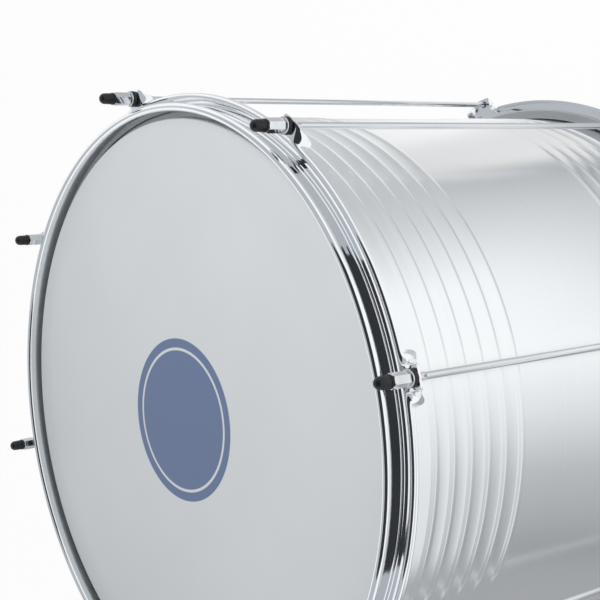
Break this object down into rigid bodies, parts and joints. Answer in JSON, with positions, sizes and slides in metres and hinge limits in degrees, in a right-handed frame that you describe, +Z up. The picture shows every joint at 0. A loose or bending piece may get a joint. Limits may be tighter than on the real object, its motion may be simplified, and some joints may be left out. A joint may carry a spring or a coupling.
{
  "type": "surdo",
  "caption": "Large cylindrical two-headed drum: ribbed metal shell, translucent heads, pressed chromed hoops with ears, and long tension rods with nuts and soft end caps",
  "frame": {"origin": "Centre of the lower rim's end, on the ground below the middle of the standing drum", "axes": "+Z up the drum's axis, out through the struck head; +X towards the first rod; +Y completes a right-handed frame"},
  "size_m": [0.5778, 0.5778, 0.5041],
  "materials": {
    "shell_metal": "satin, brushed round the shell",
    "hoop_chrome": "polished plating",
    "flesh_hoop_metal": "plain rolled section",
    "head_film": "smooth translucent white film",
    "rod_steel": "bright drawn steel with a rolled thread",
    "hardware_chrome": "polished plating",
    "bushing_plastic": "black moulded",
    "cap_rubber": "black, soft sheen"
  },
  "bodies": {
    "drum": {"shell": "shell_metal", "resonant_hoop": "hoop_chrome", "resonant_flesh_hoop": "flesh_hoop_metal", "resonant_head": "head_film", "batter_head": "head_film", "rod_1": "rod_steel", "rod_2": "rod_steel", "rod_3": "rod_steel", "rod_4": "rod_steel", "rod_5": "rod_steel", "rod_6": "rod_steel", "rod_7": "rod_steel", "rod_8": "rod_steel", "head_washer_1": "hardware_chrome", "head_washer_2": "hardware_chrome", "head_washer_3": "hardware_chrome", "head_washer_4": "hardware_chrome", "head_washer_5": "hardware_chrome", "head_washer_6": "hardware_chrome", "head_washer_7": "hardware_chrome", "head_washer_8": "hardware_chrome"},
    "batter_hoop_set": {"batter_hoop": "hoop_chrome", "batter_flesh_hoop": "flesh_hoop_metal", "bushing_1": "bushing_plastic", "bushing_2": "bushing_plastic", "bushing_3": "bushing_plastic", "bushing_4": "bushing_plastic", "bushing_5": "bushing_plastic", "bushing_6": "bushing_plastic", "bushing_7": "bushing_plastic", "bushing_8": "bushing_plastic", "nut_washer_1": "hardware_chrome", "nut_washer_2": "hardware_chrome", "nut_washer_3": "hardware_chrome", "nut_washer_4": "hardware_chrome", "nut_washer_5": "hardware_chrome", "nut_washer_6": "hardware_chrome", "nut_washer_7": "hardware_chrome", "nut_washer_8": "hardware_chrome"},
    "nut_1": {"tuning_nut_1": "hardware_chrome"},
    "nut_2": {"tuning_nut_2": "hardware_chrome"},
    "nut_3": {"tuning_nut_3": "hardware_chrome"},
    "nut_4": {"tuning_nut_4": "hardware_chrome"},
    "nut_5": {"tuning_nut_5": "hardware_chrome"},
    "nut_6": {"tuning_nut_6": "hardware_chrome"},
    "nut_7": {"tuning_nut_7": "hardware_chrome"},
    "nut_8": {"tuning_nut_8": "hardware_chrome"},
    "rod_cap_1": {"cap_1": "cap_rubber"},
    "rod_cap_2": {"cap_2": "cap_rubber"},
    "rod_cap_3": {"cap_3": "cap_rubber"},
    "rod_cap_4": {"cap_4": "cap_rubber"},
    "rod_cap_5": {"cap_5": "cap_rubber"},
    "rod_cap_6": {"cap_6": "cap_rubber"},
    "rod_cap_7": {"cap_7": "cap_rubber"},
    "rod_cap_8": {"cap_8": "cap_rubber"}
  },
  "joints": [
    {"name": "hoop_draw", "type": "slide", "parent": "drum", "child": "batter_hoop_set", "axis": [0, 0, -1], "range_m": [0, 0.003]},
    {"name": "nut_turn_1", "type": "hinge", "parent": "batter_hoop_set", "child": "nut_1", "pos_m": [0.282, 0, 0.483], "axis": [0, 0, 1], "range_deg": [-1080, 0]},
    {"name": "nut_turn_2", "type": "hinge", "parent": "batter_hoop_set", "child": "nut_2", "pos_m": [0.1994, 0.1994, 0.483], "axis": [0, 0, 1], "range_deg": [-1080, 0]},
    {"name": "nut_turn_3", "type": "hinge", "parent": "batter_hoop_set", "child": "nut_3", "pos_m": [0, 0.282, 0.483], "axis": [0, 0, 1], "range_deg": [-1080, 0]},
    {"name": "nut_turn_4", "type": "hinge", "parent": "batter_hoop_set", "child": "nut_4", "pos_m": [-0.1994, 0.1994, 0.483], "axis": [0, 0, 1], "range_deg": [-1080, 0]},
    {"name": "nut_turn_5", "type": "hinge", "parent": "batter_hoop_set", "child": "nut_5", "pos_m": [-0.282, 0, 0.483], "axis": [0, 0, 1], "range_deg": [-1080, 0]},
    {"name": "nut_turn_6", "type": "hinge", "parent": "batter_hoop_set", "child": "nut_6", "pos_m": [-0.1994, -0.1994, 0.483], "axis": [0, 0, 1], "range_deg": [-1080, 0]},
    {"name": "nut_turn_7", "type": "hinge", "parent": "batter_hoop_set", "child": "nut_7", "pos_m": [0, -0.282, 0.483], "axis": [0, 0, 1], "range_deg": [-1080, 0]},
    {"name": "nut_turn_8", "type": "hinge", "parent": "batter_hoop_set", "child": "nut_8", "pos_m": [0.1994, -0.1994, 0.483], "axis": [0, 0, 1], "range_deg": [-1080, 0]},
    {"name": "cap_pull_1", "type": "slide", "parent": "drum", "child": "rod_cap_1", "axis": [0, 0, 1], "range_m": [0, 0.025]},
    {"name": "cap_pull_2", "type": "slide", "parent": "drum", "child": "rod_cap_2", "axis": [0, 0, 1], "range_m": [0, 0.025]},
    {"name": "cap_pull_3", "type": "slide", "parent": "drum", "child": "rod_cap_3", "axis": [0, 0, 1], "range_m": [0, 0.025]},
    {"name": "cap_pull_4", "type": "slide", "parent": "drum", "child": "rod_cap_4", "axis": [0, 0, 1], "range_m": [0, 0.025]},
    {"name": "cap_pull_5", "type": "slide", "parent": "drum", "child": "rod_cap_5", "axis": [0, 0, 1], "range_m": [0, 0.025]},
    {"name": "cap_pull_6", "type": "slide", "parent": "drum", "child": "rod_cap_6", "axis": [0, 0, 1], "range_m": [0, 0.025]},
    {"name": "cap_pull_7", "type": "slide", "parent": "drum", "child": "rod_cap_7", "axis": [0, 0, 1], "range_m": [0, 0.025]},
    {"name": "cap_pull_8", "type": "slide", "parent": "drum", "child": "rod_cap_8", "axis": [0, 0, 1], "range_m": [0, 0.025]}
  ],
  "couplings": [
    {"joint": "nut_turn_1", "follows": "hoop_draw", "rad_per_m": -6283.2},
    {"joint": "nut_turn_2", "follows": "hoop_draw", "rad_per_m": -6283.2},
    {"joint": "nut_turn_3", "follows": "hoop_draw", "rad_per_m": -6283.2},
    {"joint": "nut_turn_4", "follows": "hoop_draw", "rad_per_m": -6283.2},
    {"joint": "nut_turn_5", "follows": "hoop_draw", "rad_per_m": -6283.2},
    {"joint": "nut_turn_6", "follows": "hoop_draw", "rad_per_m": -6283.2},
    {"joint": "nut_turn_7", "follows": "hoop_draw", "rad_per_m": -6283.2},
    {"joint": "nut_turn_8", "follows": "hoop_draw", "rad_per_m": -6283.2}
  ]
}
